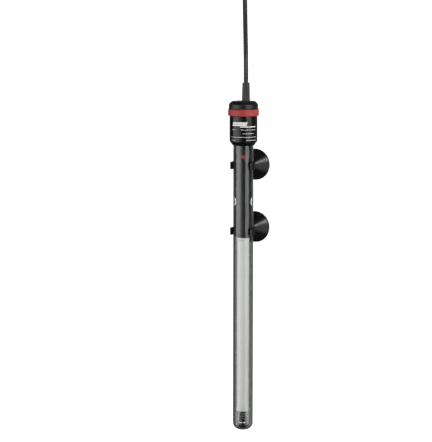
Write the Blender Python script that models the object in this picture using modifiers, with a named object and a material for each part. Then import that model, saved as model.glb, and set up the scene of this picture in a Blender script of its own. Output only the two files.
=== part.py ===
"""Submersible aquarium heater, lying on its two suction cups.

The heater's axis runs along Y, with the cap towards +Y, and the suction cups stand on z = 0.
Stations are distances along the axis from the tip of the glass. The lamp and the printed side
of the head face FRONT_TURN away from straight up, so the holders can be turned on the tube.
"""

import math

import bmesh
import bpy
from mathutils import Vector

# Driving dimensions, in metres.
GLASS_RADIUS = 0.0122
GLASS_WALL = 0.0012
GLASS_END = 0.3620
HEAD_RADIUS = 0.0166
HEAD_START = 0.3485
HEAD_SHOULDER = 0.3835
NECK_RADIUS = 0.0126
NECK_BORE = 0.0104
NECK_END = 0.3930
DIAL_RADIUS = 0.0185
DIAL_START = 0.3839
DIAL_END = 0.3919
CAP_RADIUS = 0.0176
CAP_END = 0.4010
CAP_CEILING = 0.3965  # inside the cap
RELIEF_RADIUS = 0.0048
RELIEF_END = 0.4230
CARRIER_RADIUS = 0.0103
CARRIER_BORE = 0.0090
CARRIER_START = 0.2378
CARRIER_END = 0.3580
LAMP_STATION = 0.3348
WINDOW_STATION = 0.2807
WINDOW_RADIUS = 0.0056
ROD_RADIUS = 0.0070
ROD_START = 0.0262
ROD_END = 0.2341
DISC_RADIUS = 0.0080
PAD_RADIUS = 0.0053
PAD_START = 0.0018
PAD_END = 0.0078
CORD_RADIUS = 0.0028
CORD_SHIFT = 0.0029  # the cord leaves the cap this far beside the heater's axis
CUP_RADIUS = 0.0190
AXIS_HEIGHT = 0.0343  # of the heater's axis over the cups' rims
FRONT_TURN = math.radians(28.0)
HALF_LENGTH = RELIEF_END / 2
GAP = 0.0003
FLOOR_GAP = 0.00005  # between the cord and the surface it lies on

# The dial turns the cam ring, and the setting pin follows the cam's sloped lower face.
CAM_RISE = 0.0016  # over CAM_SPAN
CAM_SPAN = math.radians(300.0)
CAM_START = 0.3780
CAM_END = 0.3915
CAM_BORE = 0.0054
CAM_RADIUS = 0.0099
PIN_RADIUS = 0.0011
PIN_PLACE = 0.0074  # beside the axis
BIMETAL_FOOT = 0.3068  # the face that the pin presses on, when the contacts snap

# Each holder has a C-shaped clip, a saddle along the tube and a boss for the suction cup's stud.
CLIP_INNER = 0.01255
CLIP_OUTER = 0.0144
CLIP_LENGTH = 0.0092
CLIP_REACH = math.radians(118.0)
TAB_RADIUS = 0.0159
TAB_REACH = math.radians(110.0)
SADDLE_REACH = math.radians(40.0)
HOLDERS = (
    # name, station of the clip, saddle's two ends, station of the suction cup
    ("upper", 0.3238, (0.3192, 0.3407), 0.3221),
    ("lower", 0.2443, (0.2397, 0.2674), 0.2456),
)

# The spare cord is folded into a hank whose loops lie in two lanes and two layers.
LANE_RADII = (0.0170, 0.0226)
HANK_START = 0.3580
HANK_RUN = 0.1068
HANK_MIDDLE = HANK_START + HANK_RUN / 2
HANK_PINCH = 0.0142  # how much nearer the runs come to each other under the tie
HANK_HEIGHT = 0.0170
TIE_WIDTH = 0.0120
TIE_WALL = 0.0008
PLUG_START = 0.5260
PLUG_AXIS = -0.0028  # the last stretch of cord and the plug lie this far beside the heater's axis
PLUG_HEIGHT = 0.0070

# The middle of the cord from the strain relief to the hank, and from the hank to the plug.
CORD_ROUTE = (
    (0.00256, 0.2118, 0.03294),
    (0.00256, 0.2166, 0.03294),
    (0.00245, 0.2222, 0.03275),
    (0.00205, 0.2296, 0.03200),
    (0.00105, 0.2389, 0.03010),
    (-0.00042, 0.2481, 0.02735),
    (-0.00225, 0.2574, 0.02390),
    (-0.00430, 0.2667, 0.02005),
    (-0.00634, 0.2759, 0.01622),
    (-0.00827, 0.2852, 0.01262),
    (-0.00998, 0.2945, 0.00942),
    (-0.01143, 0.3037, 0.00672),
    (-0.01262, 0.3121, 0.00478),
    (-0.01410, 0.3204, 0.00350),
    (-0.01640, 0.3292, 0.00292),
    (-0.01940, 0.3380, 0.00285),
)
CORD_END_ROUTE = (
    (-0.0028, 0.4906, 0.01415),
    (-0.0028, 0.4956, 0.01405),
    (-0.0028, 0.5006, 0.01320),
    (-0.0028, 0.5056, 0.01150),
    (-0.0028, 0.5106, 0.00955),
    (-0.0028, 0.5156, 0.00800),
    (-0.0028, 0.5206, 0.00715),
    (-0.0028, 0.5257, 0.00700),
)

COLOURS = {
    # name: (red, green, blue, alpha), roughness, metallic
    "glass": ((0.80, 0.85, 0.84, 0.30), 0.03, 0.0),
    "black_plastic": ((0.012, 0.013, 0.014, 1.0), 0.22, 0.0),
    "red_plastic": ((0.38, 0.035, 0.032, 1.0), 0.35, 0.0),
    "lamp_red": ((0.55, 0.02, 0.02, 1.0), 0.20, 0.0),
    "ceramic": ((0.72, 0.72, 0.69, 1.0), 0.60, 0.0),
    "rubber": ((0.020, 0.020, 0.022, 1.0), 0.40, 0.0),
    "steel": ((0.45, 0.45, 0.46, 1.0), 0.30, 1.0),
    "brass": ((0.70, 0.52, 0.22, 1.0), 0.30, 1.0),
    "board": ((0.35, 0.24, 0.13, 1.0), 0.60, 0.0),
    "cord_black": ((0.025, 0.026, 0.028, 1.0), 0.45, 0.0),
}


def clear_scene():
    for obj in list(bpy.data.objects):
        bpy.data.objects.remove(obj, do_unlink=True)


def new_collection(name):
    collection = bpy.data.collections.new(name)
    bpy.context.scene.collection.children.link(collection)
    return collection


def make_material(name):
    colour, roughness, metallic = COLOURS[name]
    material = bpy.data.materials.new(name)
    material.use_nodes = True
    shader = material.node_tree.nodes["Principled BSDF"]
    shader.inputs["Base Color"].default_value = colour[:3] + (1.0,)
    shader.inputs["Alpha"].default_value = colour[3]
    shader.inputs["Roughness"].default_value = roughness
    shader.inputs["Metallic"].default_value = metallic
    material.diffuse_color = colour
    return material


clear_scene()
PARTS = new_collection("aquarium_heater")
CUTTERS = new_collection("cutters")
MATERIALS = {name: make_material(name) for name in COLOURS}


def add_object(name, data, material=None, parent=None):
    """Links a new object. One with no material is a cutter."""
    obj = bpy.data.objects.new(name, data)
    obj.parent = parent
    if material:
        data.materials.append(MATERIALS[material])
        PARTS.objects.link(obj)
    else:
        obj.hide_render = True
        obj.display_type = "WIRE"
        CUTTERS.objects.link(obj)
    return obj


def add_axis(name, turn):
    """An empty whose +Y is the heater's axis, with its origin at the tip of the glass."""
    axis = bpy.data.objects.new(name, None)
    axis.location = (0.0, -HALF_LENGTH, AXIS_HEIGHT)
    axis.rotation_euler = (0.0, turn, 0.0)
    PARTS.objects.link(axis)
    return axis


HEATER_AXIS = add_axis("heater_axis", FRONT_TURN)
HOLDER_AXIS = add_axis("holder_axis", 0.0)
ALONG_AXIS = (-math.pi / 2, 0.0, 0.0)  # turns an object's own Z to its parent's Y


def arc(centre, radius, start, end, steps):
    """Points on an arc of a profile, with its angles in degrees."""
    points = []
    for i in range(steps + 1):
        angle = math.radians(start + (end - start) * i / steps)
        points.append((centre[0] + radius * math.cos(angle), centre[1] + radius * math.sin(angle)))
    return points


def turned(name, profile, material=None, parent=HEATER_AXIS, steps=32, closed=True):
    """A profile of (radius, height) turned about Z, which lies along the parent's Y.

    An open profile starts and ends on the axis. Both kinds run down their outer side.
    """
    mesh = bpy.data.meshes.new(name)
    edges = [(i, i + 1) for i in range(len(profile) - 1)]
    if closed:
        edges.append((len(profile) - 1, 0))
    mesh.from_pydata([(radius, 0.0, height) for radius, height in profile], edges, [])
    obj = add_object(name, mesh, material, parent)
    if parent:
        obj.rotation_euler = ALONG_AXIS
    screw = obj.modifiers.new("turn", "SCREW")
    screw.axis = "Z"
    screw.steps = steps
    screw.render_steps = steps
    screw.use_merge_vertices = True
    screw.merge_threshold = 0.00001
    screw.use_smooth_shade = True
    return obj


def block(name, low, high, material=None, parent=HEATER_AXIS, bevel=0.0):
    """A box between two corners, in its parent's axes."""
    mesh = bpy.data.meshes.new(name)
    shape = bmesh.new()
    bmesh.ops.create_cube(shape, size=1.0)
    size = Vector(high) - Vector(low)
    bmesh.ops.scale(shape, vec=size, verts=shape.verts)
    shape.to_mesh(mesh)
    shape.free()
    obj = add_object(name, mesh, material, parent)
    obj.location = (Vector(low) + Vector(high)) / 2
    if bevel:
        edge = obj.modifiers.new("edges", "BEVEL")
        edge.width = bevel
        edge.segments = 2
    return obj


def drum(
    name, place, radius, length, axis, material=None, parent=HEATER_AXIS, steps=16, bevel=0.0
):
    """A cylinder centred at place, along the parent's axis X, Y or Z."""
    mesh = bpy.data.meshes.new(name)
    shape = bmesh.new()
    bmesh.ops.create_cone(
        shape, cap_ends=True, segments=steps, radius1=radius, radius2=radius, depth=length
    )
    shape.to_mesh(mesh)
    shape.free()
    smooth_mesh(mesh)
    obj = add_object(name, mesh, material, parent)
    obj.location = place
    obj.rotation_euler = {"X": (0.0, math.pi / 2, 0.0), "Y": ALONG_AXIS, "Z": (0.0, 0.0, 0.0)}[axis]
    if bevel:
        edge = obj.modifiers.new("edges", "BEVEL")
        edge.width = bevel
        edge.segments = 2
        edge.limit_method = "ANGLE"
    return obj


def smooth_mesh(mesh):
    mesh.shade_smooth()
    mesh.set_sharp_from_angle(angle=math.radians(35.0))


def plate(name, outline, thickness, parent):
    """A flat outline, centred on z = 0 and made a mesh, so that it can be cut and joined."""
    curve = bpy.data.curves.new(name, "CURVE")
    curve.dimensions = "2D"
    curve.fill_mode = "BOTH"
    curve.extrude = thickness / 2
    spline = curve.splines.new("POLY")
    spline.points.add(len(outline) - 1)
    for point, (x, y) in zip(spline.points, outline):
        point.co = (x, y, 0.0, 1.0)
    spline.use_cyclic_u = True
    return as_mesh(name, curve, parent)


def as_mesh(name, curve, parent):
    """The mesh of a curve, with its caps welded on."""
    guide = bpy.data.objects.new(name + "_outline", curve)
    CUTTERS.objects.link(guide)
    graph = bpy.context.evaluated_depsgraph_get()
    mesh = bpy.data.meshes.new_from_object(guide.evaluated_get(graph), depsgraph=graph)
    bpy.data.objects.remove(guide, do_unlink=True)
    shape = bmesh.new()
    shape.from_mesh(mesh)
    bmesh.ops.remove_doubles(shape, verts=shape.verts, dist=0.000005)
    bmesh.ops.recalc_face_normals(shape, faces=shape.faces)
    shape.to_mesh(mesh)
    shape.free()
    mesh.name = name
    return add_object(name, mesh, None, parent)


def show(obj, material):
    """Turns a helper made by plate into a part."""
    obj.data.materials.append(MATERIALS[material])
    obj.hide_render = False
    obj.display_type = "TEXTURED"
    CUTTERS.objects.unlink(obj)
    PARTS.objects.link(obj)
    return obj


def wire(name, points, radius, material, parent=HEATER_AXIS, resolution=2):
    """A round wire through points, with closed ends."""
    curve = bpy.data.curves.new(name, "CURVE")
    curve.dimensions = "3D"
    curve.bevel_depth = radius
    curve.bevel_resolution = resolution
    curve.use_fill_caps = True
    spline = curve.splines.new("POLY")
    spline.points.add(len(points) - 1)
    for point, place in zip(spline.points, points):
        point.co = (*place, 1.0)
    return add_object(name, curve, material, parent)


def combine(obj, other, operation):
    modifier = obj.modifiers.new(operation.lower() + "_" + other.name, "BOOLEAN")
    modifier.operation = operation
    modifier.object = other
    return obj


def smooth_route(knots, spacing):
    """Points about spacing apart on a smooth curve through the knots."""
    places = [Vector(knot) for knot in knots]
    first = places[0] * 2 - places[1]
    last = places[-1] * 2 - places[-2]
    places = [first, *places, last]
    points = []
    for i in range(1, len(places) - 2):
        before, start, end, after = places[i - 1 : i + 3]
        steps = max(1, round((end - start).length / spacing))
        for step in range(steps):
            t = step / steps
            points.append(
                0.5
                * (
                    2 * start
                    + (end - before) * t
                    + (2 * before - 5 * start + 4 * end - after) * t**2
                    + (3 * start - before - 3 * end + after) * t**3
                )
            )
    points.append(places[-2])
    return points


def helix(radius_start, radius_end, station_start, station_end, turns, steps):
    """Points along a coil round the heater's axis."""
    points = []
    for i in range(round(turns * steps) + 1):
        share = i / (turns * steps)
        angle = math.tau * turns * share
        radius = radius_start + (radius_end - radius_start) * share
        station = station_start + (station_end - station_start) * share
        points.append((radius * math.cos(angle), station, radius * math.sin(angle)))
    return points


def glass_tube():
    inner = GLASS_RADIUS - GLASS_WALL
    corner = 0.0085
    flat = GLASS_RADIUS - corner
    profile = [(inner, GLASS_END), (GLASS_RADIUS, GLASS_END)]
    profile += arc((flat, corner), corner, 0.0, -90.0, 6)
    profile += [(0.0, 0.0), (0.0, GLASS_WALL)]
    profile += arc((flat, corner), corner - GLASS_WALL, -90.0, 0.0, 6)
    turned("glass_tube", profile, "glass", steps=32)


def heating_rod():
    """What lies in the lower half of the glass, from its tip upwards."""
    pad = [
        (0.0, PAD_END), (PAD_RADIUS - 0.0009, PAD_END), (PAD_RADIUS, PAD_END - 0.0008),
        (PAD_RADIUS, PAD_START + 0.0012), (PAD_RADIUS - 0.0014, PAD_START), (0.0, PAD_START),
    ]
    turned("foot_pad", pad, "rubber", steps=24, closed=False)
    coil = helix(0.0044, 0.0026, PAD_END + 0.0011, ROD_START - 0.0037, 5.0, 10)
    wire("support_spring", coil, 0.0007, "steel")
    for name, start, end, bore in (
        ("lower_spacer_disc", ROD_START - 0.0027, ROD_START - GAP, 0.0016),
        ("upper_spacer_disc", ROD_END + GAP, CARRIER_START - 0.0008, 0.0052),
    ):
        turned(name, ring_profile(bore, DISC_RADIUS, start, end), "ceramic", steps=32)
    sleeve = ring_profile(0.0054, ROD_RADIUS, ROD_START, ROD_END)
    turned("ceramic_sleeve", sleeve, "ceramic", steps=32)
    core = ring_profile(0.0011, 0.0033, ROD_START + 0.0013, ROD_END - 0.0011)
    turned("ceramic_core", core, "ceramic", steps=16)
    winding = helix(0.0041, 0.0041, ROD_START + 0.0040, ROD_END - 0.0050, 12.0, 8)
    wire("heating_coil", winding, 0.00035, "steel")
    ends = (ROD_START + 0.0006, CARRIER_START - 0.0006)
    lead = [(0.0, ends[0], 0.0), (0.0, sum(ends) / 2, 0.0), (0.0, ends[1], 0.0)]
    wire("return_lead", lead, 0.0006, "steel")


def ring_profile(bore, radius, start, end, chamfer=0.0):
    """A ring's section, running down its outer side. chamfer takes off the outer corners."""
    if not chamfer:
        return [(bore, end), (radius, end), (radius, start), (bore, start)]
    return [
        (bore, end),
        (radius - chamfer, end),
        (radius, end - chamfer),
        (radius, start + chamfer),
        (radius - chamfer, start),
        (bore, start),
    ]


def thermostat_carrier():
    """The black insert: a cup with its closed, rounded end down the tube."""
    corner = 0.0030
    floor = CARRIER_START + 0.0022
    profile = [(CARRIER_BORE, CARRIER_END), (CARRIER_RADIUS, CARRIER_END)]
    profile += arc((CARRIER_RADIUS - corner, CARRIER_START + corner), corner, 0.0, -90.0, 4)
    profile += [(0.0, CARRIER_START), (0.0, floor), (CARRIER_BORE, floor)]
    carrier = turned("thermostat_carrier", profile, "black_plastic", steps=32)
    lamp_hole = drum("lamp_hole", (0.0, LAMP_STATION, 0.0095), 0.0032, 0.0060, "Z", steps=24)
    combine(carrier, lamp_hole, "DIFFERENCE")
    place = (0.0, WINDOW_STATION, 0.0)
    side_windows = drum("side_windows", place, WINDOW_RADIUS, 0.0300, "X", steps=24)
    combine(carrier, side_windows, "DIFFERENCE")
    for name, x in (("lead_hole_left", -0.0040), ("lead_hole_right", 0.0)):
        hole = drum(name, (x, CARRIER_START, 0.0), 0.0010, 0.0100, "Y", steps=12)
        combine(carrier, hole, "DIFFERENCE")


def thermostat():
    """What the carrier holds. Its board stands behind, and the lamp faces the front."""
    block("mounting_board", (-0.0070, 0.2460, -0.0042), (0.0070, 0.3520, -0.0024), "board")
    block("contact_bracket", (-0.0012, 0.2530, -0.0020), (0.0012, 0.2610, 0.0030), "brass")
    drum("fixed_contact", (0.0018, 0.2570, 0.0012), 0.0014, 0.0006, "X", "steel")
    drum("moving_contact", (0.0028, 0.2570, 0.0012), 0.0014, 0.0006, "X", "steel")
    outline = [
        (0.0034, 0.2540), (0.0041, 0.2540), (0.0041, BIMETAL_FOOT - 0.0008),
        (0.0083, BIMETAL_FOOT - 0.0008), (0.0083, BIMETAL_FOOT), (0.0034, BIMETAL_FOOT),
    ]
    strip = plate("bimetal_strip", outline, 0.0036, HEATER_AXIS)
    strip.location = (0.0, 0.0, 0.0008)
    show(strip, "brass")
    block("snap_magnet", (-0.0002, 0.2640, -0.0018), (0.0023, 0.2710, 0.0026), "steel")
    dome = [
        (0.0, 0.0060), (0.0012, 0.0058), (0.0023, 0.0051), (0.0029, 0.0040), (0.0029, 0.0),
        (0.0, 0.0),
    ]
    lamp = turned("pilot_lamp", dome, "lamp_red", steps=24, closed=False)
    lamp.location = (0.0, LAMP_STATION, 0.0042)
    lamp.rotation_euler = (0.0, 0.0, 0.0)
    drum("lamp_resistor", (-0.0048, 0.3200, 0.0010), 0.0014, 0.0070, "Y", "ceramic")
    place = (-0.0040, 0.2960, 0.0016)
    drum("suppression_capacitor", place, 0.0036, 0.0020, "X", "board", steps=20)
    wire(
        "live_wire",
        [
            (0.0010, 0.3922, 0.0), (0.0012, 0.3800, 0.0010), (0.0016, 0.3640, 0.0018),
            (0.0022, 0.3500, 0.0016), (0.0026, 0.3380, 0.0008), (0.0022, 0.3240, 0.0),
            (0.0012, 0.3120, -0.0006), (0.0008, 0.3020, -0.0010),
        ],
        0.0008,
        "cord_black",
    )
    wire(
        "neutral_wire",
        [
            (-0.0012, 0.3922, 0.0), (-0.0014, 0.3800, 0.0008), (-0.0020, 0.3640, 0.0016),
            (-0.0026, 0.3500, 0.0014), (-0.0032, 0.3380, 0.0002), (-0.0030, 0.3300, -0.0008),
        ],
        0.0008,
        "cord_black",
    )
    wire(
        "element_lead",
        [
            (-0.0040, 0.2520, -0.0008), (-0.0042, 0.2480, 0.0), (-0.0040, 0.2440, 0.0),
            (-0.0040, 0.2380, 0.0), (-0.0042, 0.2330, 0.0), (-0.0041, 0.2314, 0.0004),
        ],
        0.0006,
        "steel",
    )


def setting_mechanism():
    """The cam ring inside the neck, and the pin under it that presses on the bimetal's foot."""
    mesh = bpy.data.meshes.new("cam_ring")
    shape = bmesh.new()
    sections = []
    count = 48
    for i in range(count):
        angle = math.tau * i / count
        low = CAM_START + cam_height(angle)
        section = [(CAM_BORE, low), (CAM_RADIUS, low), (CAM_RADIUS, CAM_END), (CAM_BORE, CAM_END)]
        sections.append(
            [shape.verts.new((r * math.cos(angle), r * math.sin(angle), z)) for r, z in section]
        )
    for i, section in enumerate(sections):
        following = sections[(i + 1) % count]
        for j in range(4):
            k = (j + 1) % 4
            shape.faces.new((section[j], following[j], following[k], section[k]))
    bmesh.ops.recalc_face_normals(shape, faces=shape.faces)
    shape.to_mesh(mesh)
    shape.free()
    cam = add_object("cam_ring", mesh, "brass", HEATER_AXIS)
    cam.rotation_euler = ALONG_AXIS
    notch = block("key_notch", (-0.0024, 0.3844, -0.0120), (0.0024, 0.4000, -0.0082))
    combine(cam, notch, "DIFFERENCE")
    top = CAM_START + cam_height(0.0) - 0.0005
    bottom = BIMETAL_FOOT + 0.0018
    place = (PIN_PLACE, (top + bottom) / 2, 0.0)
    drum("setting_pin", place, PIN_RADIUS, top - bottom, "Y", "steel", steps=12, bevel=0.0003)


def cam_height(angle):
    """How far the cam's lower face is above CAM_START. At rest the pin is in mid rise."""
    turn = (angle + math.pi) % math.tau - math.pi
    half = CAM_SPAN / 2
    if abs(turn) <= half:
        return CAM_RISE * (0.5 + turn / CAM_SPAN)
    past = abs(turn) - half
    share = 0.5 - 0.5 * past / (math.pi - half)
    return CAM_RISE * (0.5 + math.copysign(share, turn))


def sector(inner, outer, reach, steps):
    """The outline of a ring's sector, reach to each side of +Y."""
    angles = [reach * (2 * i / steps - 1) for i in range(steps + 1)]
    outline = [(outer * math.sin(a), outer * math.cos(a)) for a in angles]
    return outline + [(inner * math.sin(a), inner * math.cos(a)) for a in reversed(angles)]


def head():
    """The housing on the glass, the dial round its neck and the cap on top."""
    seat = GLASS_END + 0.0046
    bore = GLASS_RADIUS + 0.0004
    seal = ring_profile(0.0111, 0.0123, GLASS_END + GAP, seat - GAP)
    turned("glass_seal", seal, "rubber", steps=32)
    cone_end = HEAD_START + 0.0048
    housing = [
        (NECK_RADIUS, NECK_END), (NECK_RADIUS, HEAD_SHOULDER),
        (HEAD_RADIUS - 0.0004, HEAD_SHOULDER), (HEAD_RADIUS, HEAD_SHOULDER - 0.0004),
        (HEAD_RADIUS, cone_end + 0.0006), (HEAD_RADIUS - 0.0004, cone_end),
        (bore + 0.0005, HEAD_START), (bore, HEAD_START), (bore, seat), (NECK_BORE, seat),
        (NECK_BORE, NECK_END),
    ]
    body = turned("head_body", housing, "black_plastic", steps=40)
    key_station = 0.3870
    reach = math.radians(150.0)
    window = plate("neck_window", sector(0.0090, 0.0140, reach, 40), 0.0042, HEATER_AXIS)
    window.rotation_euler = ALONG_AXIS
    window.location = (0.0, key_station, 0.0)
    combine(body, window, "DIFFERENCE")
    ring = [
        (0.0130, DIAL_END), (DIAL_RADIUS - 0.0007, DIAL_END),
        (DIAL_RADIUS - 0.0002, DIAL_END - 0.0005), (DIAL_RADIUS, DIAL_START + 0.0004),
        (DIAL_RADIUS - 0.0004, DIAL_START), (0.0130, DIAL_START),
    ]
    dial = turned("temperature_dial", ring, "red_plastic", steps=40)
    low = (-0.0020, key_station - 0.0015, -0.0136)
    high = (0.0020, key_station + 0.0015, -0.0086)
    combine(dial, block("dial_key", low, high), "UNION")
    skirt = DIAL_END + 0.0004
    lid = [
        (0.0, CAP_END), (0.0138, CAP_END), (0.0146, CAP_END - 0.0005), (0.0172, 0.3980),
        (0.0175, 0.3974), (CAP_RADIUS, skirt), (0.0130, skirt), (0.0130, CAP_CEILING),
        (0.0, CAP_CEILING),
    ]
    cap = turned("top_cap", lid, "black_plastic", steps=40, closed=False)
    place = (CORD_SHIFT, (CAP_CEILING + CAP_END) / 2, 0.0)
    outlet = drum("cord_outlet", place, RELIEF_RADIUS + GAP, 0.0100, "Y", steps=32)
    combine(cap, outlet, "DIFFERENCE")
    ring = ring_profile(0.0108, 0.0126, NECK_END + GAP, CAP_CEILING - GAP)
    turned("cap_seal", ring, "rubber", steps=32)


def strain_relief():
    """A sleeve with a flange under the cap, and flutes over it."""
    flange = RELIEF_RADIUS + 0.0012
    stem = RELIEF_RADIUS - 0.0004
    flange_top = CAP_CEILING - GAP
    sleeve = [
        (0.0, RELIEF_END), (stem - 0.0004, RELIEF_END), (stem, RELIEF_END - 0.0006),
        (stem + 0.0001, flange_top), (flange, flange_top - 0.0001), (flange, flange_top - 0.0028),
        (0.0, flange_top - 0.0028),
    ]
    relief = turned("strain_relief", sleeve, "cord_black", steps=32, closed=False)
    relief.location = (CORD_SHIFT, 0.0, 0.0)
    mesh = bpy.data.meshes.new("relief_flutes")
    shape = bmesh.new()
    flutes = 10
    length = 0.0146
    bmesh.ops.create_cone(
        shape,
        cap_ends=True,
        segments=4 * flutes,
        radius1=RELIEF_RADIUS,
        radius2=RELIEF_RADIUS - 0.0003,
        depth=length,
    )
    groove_share = 0.88  # of the radius, at the bottom of a flute
    for vert in shape.verts:
        place = round(math.atan2(vert.co.y, vert.co.x) / math.tau * 4 * flutes)
        if place % 4 < 2:
            vert.co.x *= groove_share
            vert.co.y *= groove_share
    shape.to_mesh(mesh)
    shape.free()
    ribs = add_object("relief_flutes", mesh, None, HEATER_AXIS)
    ribs.rotation_euler = ALONG_AXIS
    ribs.location = (CORD_SHIFT, CAP_END + 0.0004 + length / 2, 0.0)
    combine(relief, ribs, "UNION")


def holder(name, clip_station, saddle_ends, cup_station):
    """A clip with its suction cup. The cup's stud turns in the clip's boss."""
    outline = []
    for x, y in sector(CLIP_INNER, CLIP_OUTER, CLIP_REACH, 32):
        on_tab = math.hypot(x, y) > CLIP_OUTER - 0.0001 and abs(math.atan2(x, y)) > TAB_REACH
        out = TAB_RADIUS / CLIP_OUTER if on_tab else 1.0
        outline.append((x * out, y * out))
    clip = plate(name + "_clip", outline, CLIP_LENGTH, HOLDER_AXIS)
    clip.rotation_euler = ALONG_AXIS
    clip.location = (0.0, clip_station, 0.0)
    start, end = saddle_ends
    outline = sector(CLIP_INNER, CLIP_OUTER - 0.0001, SADDLE_REACH, 12)
    saddle = plate(name + "_saddle", outline, end - start, HOLDER_AXIS)
    saddle.rotation_euler = ALONG_AXIS
    saddle.location = (0.0, (start + end) / 2, 0.0)
    combine(clip, saddle, "UNION")
    place = (0.0, cup_station, -0.0162)
    boss = drum(name + "_boss", place, 0.0056, 0.0058, "Z", None, HOLDER_AXIS, 24)
    combine(clip, boss, "UNION")
    low = 0.0150 - AXIS_HEIGHT
    hollow = [
        (0.0, low + 0.0049), (0.0042, low + 0.0049), (0.0042, low + 0.0022),
        (0.0028, low + 0.0022), (0.0028, low - 0.0010), (0.0, low - 0.0010),
    ]
    socket = turned(name + "_socket", hollow, None, HOLDER_AXIS, steps=24, closed=False)
    socket.rotation_euler = (0.0, 0.0, 0.0)
    socket.location = (0.0, cup_station, 0.0)
    combine(clip, socket, "DIFFERENCE")
    show(clip, "black_plastic")
    cup = turned(name + "_suction_cup", cup_profile(), "rubber", None, steps=32, closed=False)
    cup.location = (0.0, cup_station - HALF_LENGTH, 0.0)


def cup_profile():
    """A stud, a neck, a straight cone and a thin rim, hollow underneath."""
    profile = [
        (0.0, 0.0195), (0.0034, 0.0195), (0.0037, 0.0192), (0.0037, 0.0177), (0.0023, 0.0175),
        (0.0023, 0.0147), (0.0052, 0.0146), (0.0060, 0.0138), (0.0175, 0.0022), (0.0184, 0.0013),
        (CUP_RADIUS, 0.0009), (CUP_RADIUS, 0.0), (0.0164, 0.0),
    ]
    hollow = 0.0095
    steps = 4
    for i in range(steps):
        radius = 0.0160 * (1.0 - (i + 0.5) / steps)
        profile.append((radius, hollow * (1.0 - (radius / 0.0163) ** 1.6)))
    profile.append((0.0, hollow))
    return profile


def hank_half_width(along):
    """Half the hank's width at this share of its runs, outside the outer lane."""
    pinch = HANK_PINCH * math.sin(math.pi * along) ** 2
    return LANE_RADII[1] + CORD_RADIUS + 0.0001 - pinch


def cord():
    """The cord with its hank, tie and plug, on the surface that the cups stand on."""
    wire("power_cord", smooth_route(CORD_ROUTE, 0.0060), CORD_RADIUS, "cord_black", None)
    wire("cord_end", smooth_route(CORD_END_ROUTE, 0.0050), CORD_RADIUS, "cord_black", None)
    steps = 20
    shares = [i / steps for i in range(steps + 1)]
    side = [(hank_half_width(share), HANK_START + HANK_RUN * share) for share in shares]
    fold = LANE_RADII[1] + CORD_RADIUS + 0.0001
    far = arc((0.0, HANK_START + HANK_RUN), fold, 0.0, 180.0, 16)[1:-1]
    near = arc((0.0, HANK_START), fold, 180.0, 360.0, 16)[1:-1]
    outline = side + far + [(-x, y) for x, y in reversed(side)] + near
    hank = plate("cord_hank", outline, HANK_HEIGHT, None)
    hank.location = (0.0, 0.0, HANK_HEIGHT / 2 + FLOOR_GAP)
    low = (-LANE_RADII[1], HANK_MIDDLE - TIE_WIDTH / 2 - GAP, -TIE_WALL)
    high = (LANE_RADII[1], HANK_MIDDLE + TIE_WIDTH / 2 + GAP, FLOOR_GAP + TIE_WALL + GAP)
    combine(hank, block("tie_groove", low, high, None, None), "DIFFERENCE")
    show(hank, "cord_black")
    half = hank_half_width(0.5 - TIE_WIDTH / HANK_RUN / 2) + GAP
    top = HANK_HEIGHT + FLOOR_GAP + GAP
    band = block(
        "cord_tie",
        (-half - TIE_WALL, HANK_MIDDLE - TIE_WIDTH / 2, FLOOR_GAP),
        (half + TIE_WALL, HANK_MIDDLE + TIE_WIDTH / 2, top + TIE_WALL),
        "cord_black",
        None,
    )
    low = (-half, HANK_MIDDLE - TIE_WIDTH, FLOOR_GAP + TIE_WALL)
    high = (half, HANK_MIDDLE + TIE_WIDTH, top)
    combine(band, block("tie_inside", low, high, None, None), "DIFFERENCE")


def plug():
    """A flat two-pin plug, lying on the surface with its pins pointing away."""
    half = 0.0176
    length = 0.0360
    right = [
        (0.0055, 0.0), (0.0085, 0.0100), (half, 0.0190), (half, 0.0310), (0.0140, length),
    ]
    outline = right + [(-x, y) for x, y in reversed(right)]
    body = plate("plug_body", outline, 0.0136, None)
    body.location = (PLUG_AXIS, PLUG_START, PLUG_HEIGHT)
    edge = body.modifiers.new("edges", "BEVEL")
    edge.width = 0.0016
    edge.segments = 2
    edge.limit_method = "ANGLE"
    edge.angle_limit = math.radians(60.0)
    show(body, "cord_black")
    pin_length = 0.0190
    pin_middle = PLUG_START + length + GAP + pin_length / 2
    for name, side in (("plug_pin_left", -1), ("plug_pin_right", 1)):
        place = (PLUG_AXIS + side * 0.0093, pin_middle, PLUG_HEIGHT)
        drum(name, place, 0.0020, pin_length, "Y", "steel", None, 16, 0.0006)


glass_tube()
heating_rod()
thermostat_carrier()
thermostat()
setting_mechanism()
head()
strain_relief()
for holder_values in HOLDERS:
    holder(*holder_values)
cord()
plug()
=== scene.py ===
"""The looks of the submersible aquarium heater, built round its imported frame.

The heater's axis runs along Y and its cap is towards +Y. It lies on its two suction cups, on
z = 0. Stations are distances along the axis from the tip of the glass. The heater's own axes
are the frame's, turned about Y so that its lamp and its printed side face local +Z.
"""

import math
import random

import bmesh
import bpy
from mathutils import Matrix, Vector


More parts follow.
